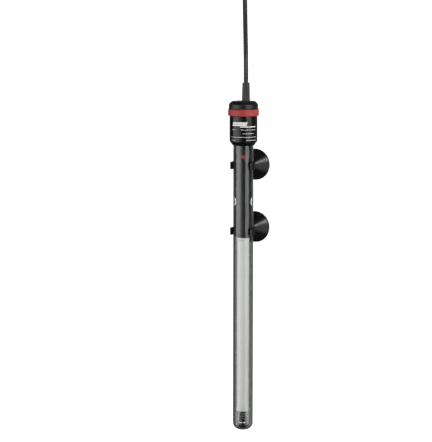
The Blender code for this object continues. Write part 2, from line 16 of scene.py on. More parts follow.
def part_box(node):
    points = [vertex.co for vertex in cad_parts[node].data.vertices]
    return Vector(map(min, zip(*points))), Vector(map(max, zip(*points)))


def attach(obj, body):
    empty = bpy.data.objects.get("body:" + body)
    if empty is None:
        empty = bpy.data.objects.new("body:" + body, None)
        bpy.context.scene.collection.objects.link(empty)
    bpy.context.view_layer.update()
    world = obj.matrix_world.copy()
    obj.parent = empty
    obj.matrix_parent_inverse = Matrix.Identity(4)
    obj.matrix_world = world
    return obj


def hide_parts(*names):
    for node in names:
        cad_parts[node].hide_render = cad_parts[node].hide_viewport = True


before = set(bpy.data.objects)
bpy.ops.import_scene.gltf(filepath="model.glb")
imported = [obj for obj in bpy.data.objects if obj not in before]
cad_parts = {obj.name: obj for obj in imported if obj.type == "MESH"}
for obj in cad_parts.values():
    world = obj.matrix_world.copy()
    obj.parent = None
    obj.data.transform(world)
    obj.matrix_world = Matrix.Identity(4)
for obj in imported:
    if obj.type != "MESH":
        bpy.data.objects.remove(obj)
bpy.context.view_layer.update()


def size_of(node):
    low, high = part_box(node)
    return high - low


def middle(node):
    low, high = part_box(node)
    return (low + high) / 2


# The heater's axis, from the frame.
TIP = Vector((middle("glass_tube").x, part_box("glass_tube")[0].y, middle("glass_tube").z))
LAMP = middle("pilot_lamp") - TIP
FRONT_TURN = math.atan2(LAMP.x, LAMP.z)
HEATER = Matrix.Translation(TIP) @ Matrix.Rotation(FRONT_TURN, 4, "Y")
HOLDER = Matrix.Translation(TIP)


def stations(node):
    """Where a node starts and ends along the axis, from the tip of the glass."""
    low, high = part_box(node)
    return low.y - TIP.y, high.y - TIP.y


def outer_radius(node):
    """The radius of a turned node."""
    return size_of(node).z / 2


# Sizes, from the frame where it gives them.
GLASS_RADIUS = outer_radius("glass_tube")
GLASS_WALL = 0.0012
GLASS_END = stations("glass_tube")[1]
HEAD_START = stations("head_body")[0]
HEAD_RADIUS = 0.0166
HEAD_SHOULDER = 0.3835
NECK_RADIUS = 0.0126
NECK_BORE = 0.0104
NECK_END = stations("head_body")[1]
SEAT = GLASS_END + 0.0046
DASH_HEIGHT = 0.00055
DIAL_RADIUS = 0.0185
DIAL_START, DIAL_END = stations("temperature_dial")
CAP_RADIUS = 0.0176
CAP_START, CAP_END = stations("top_cap")
CAP_CEILING = 0.3965
SCALLOPS = 20
SCALLOP_DEPTH = 0.00055
RELIEF_RADIUS = 0.0048
RELIEF_END = stations("strain_relief")[1]
FLUTES = 10
FLUTE_DEPTH = 0.08  # of the radius
FLUTE_FADE = 0.0012
CARRIER_RADIUS = 0.0103
CARRIER_BORE = 0.0090
CARRIER_START, CARRIER_END = stations("thermostat_carrier")
LAMP_STATION = LAMP.y
WINDOW_STATION = 0.2807
WINDOW_RADIUS = 0.0056
ROD_RADIUS = 0.0070
ROD_START, ROD_END = stations("ceramic_sleeve")
DISC_RADIUS = 0.0080
PAD_RADIUS = 0.0053
PAD_START, PAD_END = stations("foot_pad")
CORD_SHIFT = 0.0029
CLIP_INNER = 0.01255
CLIP_OUTER = 0.0144
CLIP_HALF = 0.0046
CLIP_REACH = math.radians(118.0)
TAB_RADIUS = 0.0159
TAB_REACH = math.radians(110.0)
SADDLE_REACH = math.radians(40.0)
CUP_TOP = 0.0150  # of the cup's cone over the surface it stands on, under the clip's boss
CUP_RADIUS = size_of("upper_suction_cup").x / 2
HOLDERS = (
    # name, station of the clip, saddle's two ends
    ("upper", 0.3238, (0.3192, 0.3407)),
    ("lower", 0.2443, (0.2397, 0.2674)),
)
TIE_WIDTH = 0.0120
TIE_WALL = 0.0008
TIE_LIFT = 0.00105
TIE_LIFT_REACH = 0.025
CORD_DIAMETER = 0.0056

# The spare cord's hank. Its loops lie in two lanes and two layers, and the last strand on top.
LANES = (0.0226, 0.0170)
HANK_FOLD = LANES[0] + CORD_DIAMETER / 2 + 0.0001
HANK_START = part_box("cord_hank")[0].y + HANK_FOLD
HANK_RUN = size_of("cord_hank").y - 2 * HANK_FOLD
HANK_PINCH = 0.0142
LAYER = 0.00565
LYING = 0.00285  # of the cord's middle over the surface it lies on
LOOPS = (
    # lane and layer of each loop, and where along its right run it starts to change to the next
    (0, 0, 0.6),
    (1, 0, 0.4),
    (1, 1, 0.2),
    (0, 1, 0.0),
)
LAST_STRAND = (1, 2)
CHANGE = 0.4

CORD_START = 0.4140  # inside the strain relief
CORD_SPACING = 0.003

# The middle of the cord from the strain relief to the hank, and from the hank to the plug.
CORD_ROUTE = (
    (0.00256, 0.2118, 0.03294),
    (0.00256, 0.2166, 0.03294),
    (0.00245, 0.2222, 0.03275),
    (0.00205, 0.2296, 0.03200),
    (0.00105, 0.2389, 0.03010),
    (-0.00042, 0.2481, 0.02735),
    (-0.00225, 0.2574, 0.02390),
    (-0.00430, 0.2667, 0.02005),
    (-0.00634, 0.2759, 0.01622),
    (-0.00827, 0.2852, 0.01262),
    (-0.00998, 0.2945, 0.00942),
    (-0.01143, 0.3037, 0.00672),
    (-0.01262, 0.3121, 0.00478),
    (-0.01410, 0.3204, 0.00350),
    (-0.01640, 0.3292, 0.00292),
    (-0.01940, 0.3380, 0.00285),
)
CORD_END_ROUTE = (
    (-0.0028, 0.4906, 0.01415),
    (-0.0028, 0.4956, 0.01405),
    (-0.0028, 0.5006, 0.01320),
    (-0.0028, 0.5056, 0.01150),
    (-0.0028, 0.5106, 0.00955),
    (-0.0028, 0.5156, 0.00800),
    (-0.0028, 0.5206, 0.00715),
    (-0.0028, 0.5257, 0.00700),
)


def eased(share):
    """0 to 1, level at both ends."""
    share = min(1.0, max(0.0, share))
    return share * share * (3.0 - 2.0 * share)


def pinch(share):
    """How far a run is drawn in towards the hank's waist."""
    return HANK_PINCH * math.sin(math.pi * share) ** 2


def hank_route():
    """The middle of the cord through the hank, from its near left to the far end's top."""
    points = []
    run_steps = 16
    fold_steps = 10
    follow = [(lane, layer) for lane, layer, _ in LOOPS[1:]] + [LAST_STRAND]
    for (lane, layer, start), (next_lane, next_layer) in zip(LOOPS, follow):
        radius = LANES[lane]
        height = LYING + layer * LAYER
        next_radius = LANES[next_lane]
        next_height = LYING + next_layer * LAYER
        for i in range(run_steps):
            share = i / run_steps
            points.append((pinch(share) - radius, HANK_START + HANK_RUN * share, height))
        for i in range(fold_steps):
            angle = math.pi * (1.0 - i / fold_steps)
            away = HANK_START + HANK_RUN + radius * math.sin(angle)
            points.append((radius * math.cos(angle), away, height))
        for i in range(run_steps):
            share = i / run_steps
            change = eased((share - start) / CHANGE)
            lane_now = radius + (next_radius - radius) * change
            height_now = height + (next_height - height) * change
            points.append((lane_now - pinch(share), HANK_START + HANK_RUN * (1.0 - share), height_now))
        for i in range(fold_steps):
            angle = -math.pi * i / fold_steps
            near = HANK_START + next_radius * math.sin(angle)
            points.append((next_radius * math.cos(angle), near, next_height))
    top = LYING + LAST_STRAND[1] * LAYER
    last = LANES[LAST_STRAND[0]]
    for i in range(run_steps // 2):
        share = i / run_steps
        points.append((pinch(share) - last, HANK_START + HANK_RUN * share, top))
    waist = HANK_START + HANK_RUN / 2
    reach = CORD_END_ROUTE[0][1] - waist
    for i in range(5):
        points.append((CORD_END_ROUTE[0][0], waist + reach * i / 5, top))
    return points


def over_tie(point):
    """The strands lie on the tie's lower side where it passes under them."""
    x, y, z = point
    away = abs(y - (HANK_START + HANK_RUN / 2))
    if away < TIE_LIFT_REACH and HANK_START - HANK_FOLD < y:
        z += TIE_LIFT * math.cos(math.pi * away / TIE_LIFT_REACH / 2) ** 2
    return x, y, z


def smooth_route(knots, spacing):
    """Points about spacing apart on a smooth curve through the knots."""
    places = [Vector(knot) for knot in knots]
    places = [places[0] * 2 - places[1], *places, places[-1] * 2 - places[-2]]
    points = []
    for i in range(1, len(places) - 2):
        before, start, end, after = places[i - 1 : i + 3]
        steps = max(1, round((end - start).length / spacing))
        for step in range(steps):
            t = step / steps
            bend = 2 * before - 5 * start + 4 * end - after
            twist = 3 * start - before - 3 * end + after
            points.append(0.5 * (2 * start + (end - before) * t + bend * t**2 + twist * t**3))
    points.append(places[-2])
    return points


# Materials.


def node(tree, kind, **inputs):
    """A shader node with values on its inputs. A socket given as a value is linked to its input."""
    made = tree.nodes.new("ShaderNode" + kind)
    for name, value in inputs.items():
        socket = made.inputs[name.replace("_", " ")]
        if isinstance(value, bpy.types.NodeSocket):
            tree.links.new(value, socket)
        else:
            socket.default_value = value
    return made


def noise(tree, size, detail=2.0, stretch=(1.0, 1.0, 1.0)):
    """Noise with features of this size in metres, drawn out along an axis by stretch."""
    place = node(tree, "TexCoord").outputs["Object"]
    scaled = node(tree, "Mapping", Vector=place, Scale=stretch).outputs["Vector"]
    return node(tree, "TexNoise", Vector=scaled, Scale=1.0 / size, Detail=detail).outputs["Fac"]


def between(tree, factor, low, high, start=0.3, end=0.7):
    """A number that goes from low to high as factor goes from start to end."""
    made = node(tree, "MapRange", Value=factor)
    made.inputs["From Min"].default_value = start
    made.inputs["From Max"].default_value = end
    made.inputs["To Min"].default_value = low
    made.inputs["To Max"].default_value = high
    return made.outputs["Result"]


def ramp(tree, factor, stops):
    """Colours at places along a factor."""
    made = node(tree, "ValToRGB", Fac=factor)
    elements = made.color_ramp.elements
    while len(elements) < len(stops):
        elements.new(0.5)
    for element, (place, colour) in zip(elements, stops):
        element.position = place
        element.color = (*colour, 1.0)
    return made.outputs["Color"]


def new_material(name):
    material = bpy.data.materials.new(name)
    material.use_nodes = True
    tree = material.node_tree
    return material, tree, tree.nodes["Principled BSDF"]


def set_surface(tree, shader, colour, roughness, bump=None, **constants):
    """Links colour and roughness, and sets what is constant over the surface."""
    tree.links.new(colour, shader.inputs["Base Color"])
    tree.links.new(roughness, shader.inputs["Roughness"])
    for name, value in constants.items():
        shader.inputs[name.replace("_", " ")].default_value = value
    if bump:
        height, depth = bump
        made = node(tree, "Bump", Height=height, Distance=depth, Strength=1.0)
        tree.links.new(made.outputs["Normal"], shader.inputs["Normal"])


def plastic(name, dark, light, smoothest, roughest, grain, depth, **constants):
    """Moulded plastic or rubber: faint patches of colour, uneven gloss and a fine grain."""
    material, tree, shader = new_material(name)
    patches = noise(tree, 0.012, 4.0)
    colour = ramp(tree, patches, ((0.35, dark), (0.65, light)))
    roughness = between(tree, noise(tree, 0.004, 5.0), smoothest, roughest)
    bump = (noise(tree, grain, 3.0), depth) if depth else None
    set_surface(tree, shader, colour, roughness, bump, **constants)
    return material


def metal(name, dark, light, smoothest, roughest, stretch):
    """Drawn or turned metal, with fine lines along the way it was worked."""
    material, tree, shader = new_material(name)
    lines = noise(tree, 0.0005, 3.0, stretch)
    colour = ramp(tree, noise(tree, 0.003, 3.0), ((0.3, dark), (0.7, light)))
    roughness = between(tree, lines, smoothest, roughest)
    set_surface(tree, shader, colour, roughness, (lines, 0.00001), Metallic=1.0)
    return material


def glass():
    """Borosilicate glass with faint smears. Its shadow lets the lamps' light through."""
    material, tree, shader = new_material("borosilicate_glass")
    smears = noise(tree, 0.010, 4.0, (1.0, 0.25, 1.0))
    colour = ramp(tree, smears, ((0.3, (0.965, 0.972, 0.968)), (0.7, (0.980, 0.984, 0.981))))
    roughness = between(tree, smears, 0.010, 0.035)
    set_surface(tree, shader, colour, roughness, Transmission_Weight=1.0, IOR=1.47)
    clear = node(tree, "BsdfTransparent", Color=(0.93, 0.95, 0.945, 1.0))
    shadow = node(tree, "LightPath").outputs["Is Shadow Ray"]
    mix = node(tree, "MixShader", Fac=shadow)
    tree.links.new(shader.outputs["BSDF"], mix.inputs[1])
    tree.links.new(clear.outputs["BSDF"], mix.inputs[2])
    tree.links.new(mix.outputs["Shader"], tree.nodes["Material Output"].inputs["Surface"])
    return material


def ceramic():
    """Pale, slightly speckled ceramic."""
    material, tree, shader = new_material("pale_ceramic")
    speckle = noise(tree, 0.0006, 4.0)
    stops = (0.30, (0.40, 0.40, 0.385)), (0.42, (0.50, 0.50, 0.485)), (0.7, (0.535, 0.535, 0.52))
    colour = ramp(tree, speckle, stops)
    roughness = between(tree, noise(tree, 0.003, 3.0), 0.32, 0.45)
    set_surface(tree, shader, colour, roughness, (speckle, 0.00002))
    return material


def laminate():
    """Board of pressed fibres."""
    material, tree, shader = new_material("fibre_board")
    fibres = noise(tree, 0.0015, 5.0, (1.0, 0.15, 1.0))
    colour = ramp(tree, fibres, ((0.3, (0.22, 0.14, 0.07)), (0.7, (0.38, 0.26, 0.14))))
    roughness = between(tree, fibres, 0.5, 0.7)
    set_surface(tree, shader, colour, roughness, (fibres, 0.00003))
    return material


def worn_print():
    """Off-white ink, thinner in places."""
    material, tree, shader = new_material("print_ink")
    wear = noise(tree, 0.0005, 5.0)
    stops = (0.32, (0.25, 0.25, 0.25)), (0.40, (0.90, 0.90, 0.89)), (0.7, (0.95, 0.95, 0.94))
    colour = ramp(tree, wear, stops)
    roughness = between(tree, wear, 0.35, 0.55)
    set_surface(tree, shader, colour, roughness)
    return material


GLASS = glass()
GLOSS_BLACK = plastic(
    "gloss_black", (0.0035, 0.0038, 0.0042), (0.0065, 0.007, 0.0075), 0.13, 0.22, 0.0007, 0.000008
)
SATIN_BLACK = plastic(
    "satin_black", (0.005, 0.0058, 0.0056), (0.009, 0.0102, 0.0098), 0.32, 0.44, 0.0006, 0.00002
)
INSERT_BLACK = plastic(
    "insert_black", (0.003, 0.003, 0.0032), (0.006, 0.006, 0.0064), 0.30, 0.42, 0.0005, 0.00001
)
RED = plastic("dial_red", (0.345, 0.032, 0.030), (0.400, 0.041, 0.038), 0.44, 0.58, 0.0005, 0.00002)
LAMP_RED = plastic(
    "lamp_red", (0.18, 0.036, 0.034), (0.26, 0.052, 0.048), 0.12, 0.22, 0.0008, 0.00001,
    Emission_Color=(1.0, 0.05, 0.03, 1.0), Emission_Strength=0.04,
)
CERAMIC = ceramic()
# Pale and glowing: a painted glint, standing in for light seen through the insert's side windows.
WINDOW_GLINT_GLOW = plastic(
    "painted_glint_rim", (0.82, 0.82, 0.80), (0.90, 0.90, 0.88), 0.30, 0.45, 0.0010, 0.00001,
    Emission_Color=(1.0, 1.0, 0.98, 1.0), Emission_Strength=0.25,
)
CUP_RUBBER = plastic(
    "cup_rubber", (0.004, 0.004, 0.0044), (0.008, 0.008, 0.0086), 0.24, 0.34, 0.0012, 0.000012,
    Specular_IOR_Level=0.30,
)
SEAL_RUBBER = plastic(
    "seal_rubber", (0.018, 0.018, 0.018), (0.030, 0.030, 0.031), 0.55, 0.75, 0.0005, 0.00003
)
CORD_PVC = plastic("cord_pvc", (0.014, 0.015, 0.017), (0.024, 0.026, 0.029), 0.36, 0.52, 0.0006, 0.00002)
PLUG_PVC = plastic("plug_pvc", (0.012, 0.013, 0.014), (0.020, 0.021, 0.023), 0.38, 0.55, 0.0006, 0.00003)
TIE_BAND = plastic("tie_band", (0.016, 0.016, 0.017), (0.030, 0.030, 0.032), 0.60, 0.80, 0.0004, 0.00010)
WIRE_COVER = plastic("wire_cover", (0.030, 0.030, 0.034), (0.050, 0.050, 0.055), 0.40, 0.55, 0.0005, 0.00001)
STEEL = metal("spring_steel", (0.38, 0.38, 0.39), (0.52, 0.52, 0.53), 0.22, 0.38, (1.0, 0.2, 1.0))
# Darkened steel for the spring's coil: painted shade on the same spring as the bright end turn.
SHADED_COIL_STEEL = metal("spring_painted_shade", (0.010, 0.010, 0.011), (0.028, 0.028, 0.029), 0.34, 0.48, (1.0, 1.0, 1.0))
# Brightened steel for the spring's end turn: a painted highlight on the same spring as the dark coil.
LIT_END_TURN_STEEL = metal(
    "spring_painted_highlight", (0.86, 0.86, 0.86), (0.96, 0.96, 0.96), 0.12, 0.24, (1.0, 1.0, 1.0)
)
BRASS = metal("brass", (0.55, 0.38, 0.15), (0.72, 0.53, 0.24), 0.25, 0.42, (1.0, 0.2, 1.0))
BOARD = laminate()
INK = worn_print()

# Meshes.

CREASE = math.radians(35.0)


def rounded(corners, closed=True, steps=4):
    """The outline through corners (x, y) or (x, y, rounding)."""
    points = []
    for i, (x, y, *size) in enumerate(corners):
        ends = not closed and i in (0, len(corners) - 1)
        if ends or not size:
            points.append((x, y))
            continue
        here = Vector((x, y))
        before = Vector(corners[i - 1][:2]) - here
        after = Vector(corners[(i + 1) % len(corners)][:2]) - here
        start = here + before * min(0.5, size[0] / before.length)
        end = here + after * min(0.5, size[0] / after.length)
        for k in range(steps + 1):
            t = k / steps
            point = start.lerp(here, t).lerp(here.lerp(end, t), t)
            points.append((point.x, point.y))
    return points


def arc(centre, radius, start, end, steps):
    """Points on an arc, with its angles in degrees."""
    points = []
    for i in range(steps + 1):
        angle = math.radians(start + (end - start) * i / steps)
        points.append((centre[0] + radius * math.cos(angle), centre[1] + radius * math.sin(angle)))
    return points


def skin(rings, closed):
    """A mesh over rings of points. A ring of one point closes an end."""
    shape = bmesh.new()
    rows = [[shape.verts.new(point) for point in ring] for ring in rings]
    pairs = list(zip(rows, rows[1:]))
    if closed:
        pairs.append((rows[-1], rows[0]))
    count = max(len(row) for row in rows)
    for first, second in pairs:
        if len(first) == len(second) == 1:
            continue
        for i in range(count):
            j = (i + 1) % count
            corners = (
                first[i % len(first)], first[j % len(first)],
                second[j % len(second)], second[i % len(second)],
            )
            shape.faces.new(tuple(dict.fromkeys(corners)))
    bmesh.ops.recalc_face_normals(shape, faces=shape.faces)
    mesh = bpy.data.meshes.new("skin")
    shape.to_mesh(mesh)
    shape.free()
    return mesh


def lathe(profile, steps=96, shape=None):
    """A profile of (radius, station) turned about local Y. shape changes a radius by angle."""
    rings = []
    for radius, station in profile:
        if radius < 0.000001:
            rings.append([(0.0, station, 0.0)])
            continue
        ring = []
        for i in range(steps):
            angle = math.tau * i / steps
            out = shape(radius, station, angle) if shape else radius
            ring.append((out * math.sin(angle), station, out * math.cos(angle)))
        rings.append(ring)
    return skin(rings, closed=len(rings[0]) > 1)


def tube(points, radius, sides=12):
    """A round wire through points, with rounded ends."""
    places = [Vector(point) for point in points]
    along = [(b - a).normalized() for a, b in zip(places, places[1:])]
    along = [along[0], *[(a + b).normalized() for a, b in zip(along, along[1:])], along[-1]]
    side = along[0].orthogonal().normalized()
    rings = [[places[0] - along[0] * radius * 0.4]]
    for i, (place, way) in enumerate(zip(places, along)):
        side = (side - way * side.dot(way)).normalized()
        other = way.cross(side)
        sizes = (0.75, 1.0) if i == 0 else (1.0, 0.75) if i == len(places) - 1 else (1.0,)
        for size in sizes:
            shift = radius * 0.3 * (1.0 if size < 1.0 else 0.0) * (-1 if i == 0 else 1)
            ring = []
            for k in range(sides):
                angle = math.tau * k / sides
                spoke = side * math.cos(angle) + other * math.sin(angle)
                ring.append(place + way * shift + spoke * radius * size)
            rings.append(ring)
    rings.append([places[-1] + along[-1] * radius * 0.4])
    return skin(rings, closed=False)


def helix(radius_start, radius_end, station_start, station_end, turns, steps):
    """Points along a coil round the local Y axis, with flat ends."""
    points = []
    count = round(turns * steps)
    for i in range(count + 1):
        share = i / count
        angle = math.tau * turns * share
        rise = eased(share) * 0.3 + share * 0.7
        radius = radius_start + (radius_end - radius_start) * share
        station = station_start + (station_end - station_start) * rise
        points.append((radius * math.cos(angle), station, radius * math.sin(angle)))
    return points


def piece(name, mesh, body, material, replaces=(), place=HEATER):
    """An object of the mesh moved to its place, riding on a body, in place of CAD nodes."""
    mesh.name = name
    mesh.transform(place)
    mesh.shade_smooth()
    mesh.set_sharp_from_angle(angle=CREASE)
    mesh.materials.clear()
    mesh.materials.append(material)
    obj = bpy.data.objects.new(name, mesh)
    bpy.context.scene.collection.objects.link(obj)
    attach(obj, body)
    if replaces:
        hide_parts(*replaces)
    return obj


def combined(mesh, *changes):
    """The mesh after Booleans with other meshes, given as (operation, mesh)."""
    base = bpy.data.objects.new("base", mesh)
    bpy.context.scene.collection.objects.link(base)
    helpers = [base]
    for operation, other in changes:
        helper = bpy.data.objects.new("helper", other)
        bpy.context.scene.collection.objects.link(helper)
        helpers.append(helper)
        modifier = base.modifiers.new(operation, "BOOLEAN")
        modifier.operation = operation
        modifier.object = helper
    graph = bpy.context.evaluated_depsgraph_get()
    result = bpy.data.meshes.new_from_object(base.evaluated_get(graph), depsgraph=graph)
    for helper in helpers:
        bpy.data.objects.remove(helper, do_unlink=True)
    return result


def drum(place, radius, length, axis, steps=64):
    """A plain cylinder to cut with or to join on, centred at place along X, Y or Z."""
    ends = (-length / 2, length / 2)
    mesh = lathe([(0.0, ends[1]), (radius, ends[1]), (radius, ends[0]), (0.0, ends[0])], steps)
    turn = {
        "X": Matrix.Rotation(-math.pi / 2, 4, "Z"),
        "Y": Matrix.Identity(4),
        "Z": Matrix.Rotation(math.pi / 2, 4, "X"),
    }[axis]
    mesh.transform(Matrix.Translation(place) @ turn)
    return mesh


def sector(inner, outer, half, reach, centre, edge, steps=72):
    """A bar of a ring that faces local -Z, reach to each side, with rounded edges.

    outer gives the outer radius at an angle. half is half its length, and centre its station.
    """
    end_steps = 3
    shares = [-1.0 + 2.0 * i / steps for i in range(steps + 1)]
    turns = [(share * reach, 0.0) for share in shares[1:-1]]
    cap = [math.pi / 2 * k / end_steps for k in range(end_steps + 1)]
    start = [(-reach + edge * (1.0 - math.cos(a)) / inner, edge * (1.0 - math.sin(a))) for a in cap]
    end = [(-angle, inset) for angle, inset in reversed(start)]
    rings = []
    for angle, inset in [*start, *turns, *end]:
        out = outer(angle)
        section = rounded(
            [
                (inner + inset, centre - half + inset, edge),
                (out - inset, centre - half + inset, edge),
                (out - inset, centre + half - inset, edge),
                (inner + inset, centre + half - inset, edge),
            ],
            steps=3,
        )
        ring = []
        for radius, station in section:
            ring.append((radius * math.sin(angle), station, -radius * math.cos(angle)))
        rings.append(ring)
    tips = [sum((Vector(point) for point in ring), Vector()) / len(ring) for ring in (rings[0], rings[-1])]
    return skin([tips[:1], *rings, tips[1:]], closed=False)


# Pieces of the heater.


def glass_tube():
    """A tube with a rounded lip, closed by a flat end with a wide corner."""
    inner = GLASS_RADIUS - GLASS_WALL
    corner = 0.0085
    flat = GLASS_RADIUS - corner
    rim = 0.0005
    profile = rounded(
        [(inner, GLASS_END - 0.004), (inner, GLASS_END, rim), (GLASS_RADIUS, GLASS_END, rim),
         (GLASS_RADIUS, GLASS_END - 0.004)],
        closed=False,
    )
    profile += arc((flat, corner), corner, 0.0, -90.0, 14)
    profile += [(0.0, 0.0), (0.0, GLASS_WALL)]
    profile += arc((flat, corner), corner - GLASS_WALL, -90.0, 0.0, 14)
    piece("glass_tube_clear", lathe(profile, 128), "heater", GLASS, ["glass_tube"])


def heating_rod():
    """The foot pad, the spring, the two discs and the sleeve. The spring's coil is darkened steel, painted
    shade, and its end turn brightened steel, a painted highlight.
    """
    pad = rounded(
        [
            (0.0, PAD_END), (PAD_RADIUS - 0.0003, PAD_END, 0.0010), (PAD_RADIUS, PAD_END - 0.0012, 0.0010),
            (PAD_RADIUS, PAD_START + 0.0014, 0.0010), (PAD_RADIUS - 0.0014, PAD_START, 0.0010),
            (0.0, PAD_START),
        ],
        closed=False,
    )
    piece("foot_pad_rubber", lathe(pad, 64), "heater", CUP_RUBBER, ["foot_pad"])
    # The coil is painted shade: darkened steel.
    coil = helix(0.0044, 0.0026, PAD_END + 0.0011, ROD_START - 0.0037, 5.0, 28)
    piece("support_coil", tube(coil, 0.0007), "heater", SHADED_COIL_STEEL, ["support_spring"])
    # The end turn is a painted highlight: a brightened steel ring on the same spring.
    end_turn = helix(0.0046, 0.0046, PAD_END + 0.0008, PAD_END + 0.0016, 1.05, 40)
    piece("coil_end_turn_highlight", tube(end_turn, 0.0009), "heater", LIT_END_TURN_STEEL)
    for name, bore in (("lower_spacer_disc", 0.0016), ("upper_spacer_disc", 0.0052)):
        start, end = stations(name)
        edge = 0.0005
        profile = rounded(
            [
                (bore, end, 0.0002), (DISC_RADIUS, end, edge), (DISC_RADIUS, start, edge),
                (bore, start, 0.0002),
            ]
        )
        piece(name + "_fired", lathe(profile, 72), "heater", CERAMIC, [name])
    sleeve = rounded(
        [
            (0.0054, ROD_END, 0.0003), (ROD_RADIUS, ROD_END, 0.0005), (ROD_RADIUS, ROD_START, 0.0005),
            (0.0054, ROD_START, 0.0003),
        ]
    )
    piece("rod_sleeve", lathe(sleeve, 72), "heater", CERAMIC, ["ceramic_sleeve"])


def carrier():
    """The black insert, with its lamp hole, its two side windows and a groove near its end, and pale glowing
    lips round the windows that are painted glints.
    """
    groove = CARRIER_START + 0.0028
    floor = CARRIER_START + 0.0022
    deep = CARRIER_RADIUS - 0.0005
    profile = rounded(
        [
            (CARRIER_BORE, CARRIER_END, 0.0003), (CARRIER_RADIUS, CARRIER_END, 0.0004),
            (CARRIER_RADIUS, groove + 0.0008, 0.0003), (deep, groove + 0.0004, 0.0003),
            (deep, groove - 0.0004, 0.0003), (CARRIER_RADIUS, groove - 0.0008, 0.0005),
            (CARRIER_RADIUS - 0.0002, CARRIER_START + 0.0012, 0.0008),
            (CARRIER_RADIUS - 0.0018, CARRIER_START, 0.0008), (0.0, CARRIER_START),
            (0.0, floor), (CARRIER_BORE, floor, 0.0006),
        ]
    )
    mesh = combined(
        lathe(profile, 96),
        ("DIFFERENCE", drum((0.0, LAMP_STATION, 0.0095), 0.0032, 0.0060, "Z")),
        ("DIFFERENCE", drum((0.0, WINDOW_STATION, 0.0), WINDOW_RADIUS, 0.0300, "X")),
        ("DIFFERENCE", drum((-0.0040, CARRIER_START, 0.0), 0.0010, 0.0100, "Y", 24)),
        ("DIFFERENCE", drum((0.0, CARRIER_START, 0.0), 0.0010, 0.0100, "Y", 24)),
    )
    piece("thermostat_insert", mesh, "heater", INSERT_BLACK, ["thermostat_carrier"])
    quarters = (
        ("left_front", -1.0, 1.0),
        ("right_front", 1.0, 1.0),
        ("left_back", -1.0, -1.0),
        ("right_back", 1.0, -1.0),
    )
    # Each window's lips are thin pale tubes that glow, painted glints where light shows through the window.
    for name, side, face in quarters:
        lip = []
        for i in range(17):
            turn = math.radians(42.0 + 96.0 * i / 16)
            z = face * WINDOW_RADIUS * math.sin(turn)
            x = side * math.sqrt(CARRIER_RADIUS**2 - z * z)
            lip.append((x, WINDOW_STATION + WINDOW_RADIUS * math.cos(turn), z))
        piece(name + "_window_glint_lip", tube(lip, 0.0005), "heater", WINDOW_GLINT_GLOW)


def lamp():
    """A domed red lens."""
    corners = (0.0, 0.0060), (0.0030, 0.0058, 0.0026), (0.0029, 0.0, 0.0003), (0.0, 0.0)
    mesh = lathe(rounded(corners, False, 8), 48)
    upright = Matrix.Rotation(math.pi / 2, 4, "X")
    place = HEATER @ Matrix.Translation((0.0, LAMP_STATION, 0.0042)) @ upright
    piece("pilot_lamp_lens", mesh, "heater", LAMP_RED, ["pilot_lamp"], place)


def head():
    """The black housing, and the red ring round its neck."""
    cone_end = HEAD_START + 0.0048
    bore = GLASS_RADIUS + 0.0004
    profile = rounded(
        [
            (NECK_RADIUS, NECK_END, 0.0003), (NECK_RADIUS, HEAD_SHOULDER, 0.0002),
            (HEAD_RADIUS, HEAD_SHOULDER, 0.0007), (HEAD_RADIUS, cone_end, 0.0012),
            (bore + 0.0005, HEAD_START, 0.0005), (bore, HEAD_START, 0.0002), (bore, SEAT),
            (NECK_BORE, SEAT), (NECK_BORE, NECK_END, 0.0003),
        ]
    )
    piece("head_shell", lathe(profile, 128), "heater", GLOSS_BLACK, ["head_body"])
    ring = rounded(
        [
            (0.0130, DIAL_END, 0.0003), (DIAL_RADIUS - 0.0001, DIAL_END, 0.0010),
            (DIAL_RADIUS, DIAL_START, 0.0008), (0.0130, DIAL_START, 0.0003),
        ],
        steps=6,
    )
    piece("dial_ring", lathe(ring, 128), "dial", RED, ["temperature_dial"])


def scalloped(radius, station, angle):
    """Shallow scallops round the cap's chamfer."""
    if not 0.3977 < station < 0.4006 or radius < 0.0140:
        return radius
    return radius - SCALLOP_DEPTH * (0.5 + 0.5 * math.cos(SCALLOPS * angle)) ** 2


def cap():
    """A lid with a scalloped chamfer and a hole for the strain relief."""
    chamfer = [(0.0146 + 0.0026 * share, 0.4005 - 0.0025 * share) for share in (0.2, 0.4, 0.6, 0.8)]
    profile = rounded(
        [
            (0.0, CAP_END), (0.0144, CAP_END - 0.0001, 0.0006), *chamfer, (0.0174, 0.3977, 0.0005),
            (CAP_RADIUS, CAP_START, 0.0003), (0.0130, CAP_START, 0.0003), (0.0130, CAP_CEILING),
            (0.0, CAP_CEILING),
        ],
        closed=False,
    )
    hole = drum((CORD_SHIFT, (CAP_CEILING + CAP_END) / 2, 0.0), RELIEF_RADIUS + 0.0003, 0.0100, "Y")
    mesh = combined(lathe(profile, 160, scalloped), ("DIFFERENCE", hole))
    piece("cap_lid", mesh, "heater", SATIN_BLACK, ["top_cap"])


def fluted(radius, station, angle):
    """Flutes over the sleeve's middle."""
    start = CAP_END + 0.0006
    end = RELIEF_END - 0.0050
    if radius < 0.0036 or not start < station < end:
        return radius
    fade = min(1.0, (station - start) / FLUTE_FADE, (end - station) / FLUTE_FADE)
    return radius * (1.0 - FLUTE_DEPTH * fade * (0.5 + 0.5 * math.cos(FLUTES * angle)) ** 1.5)


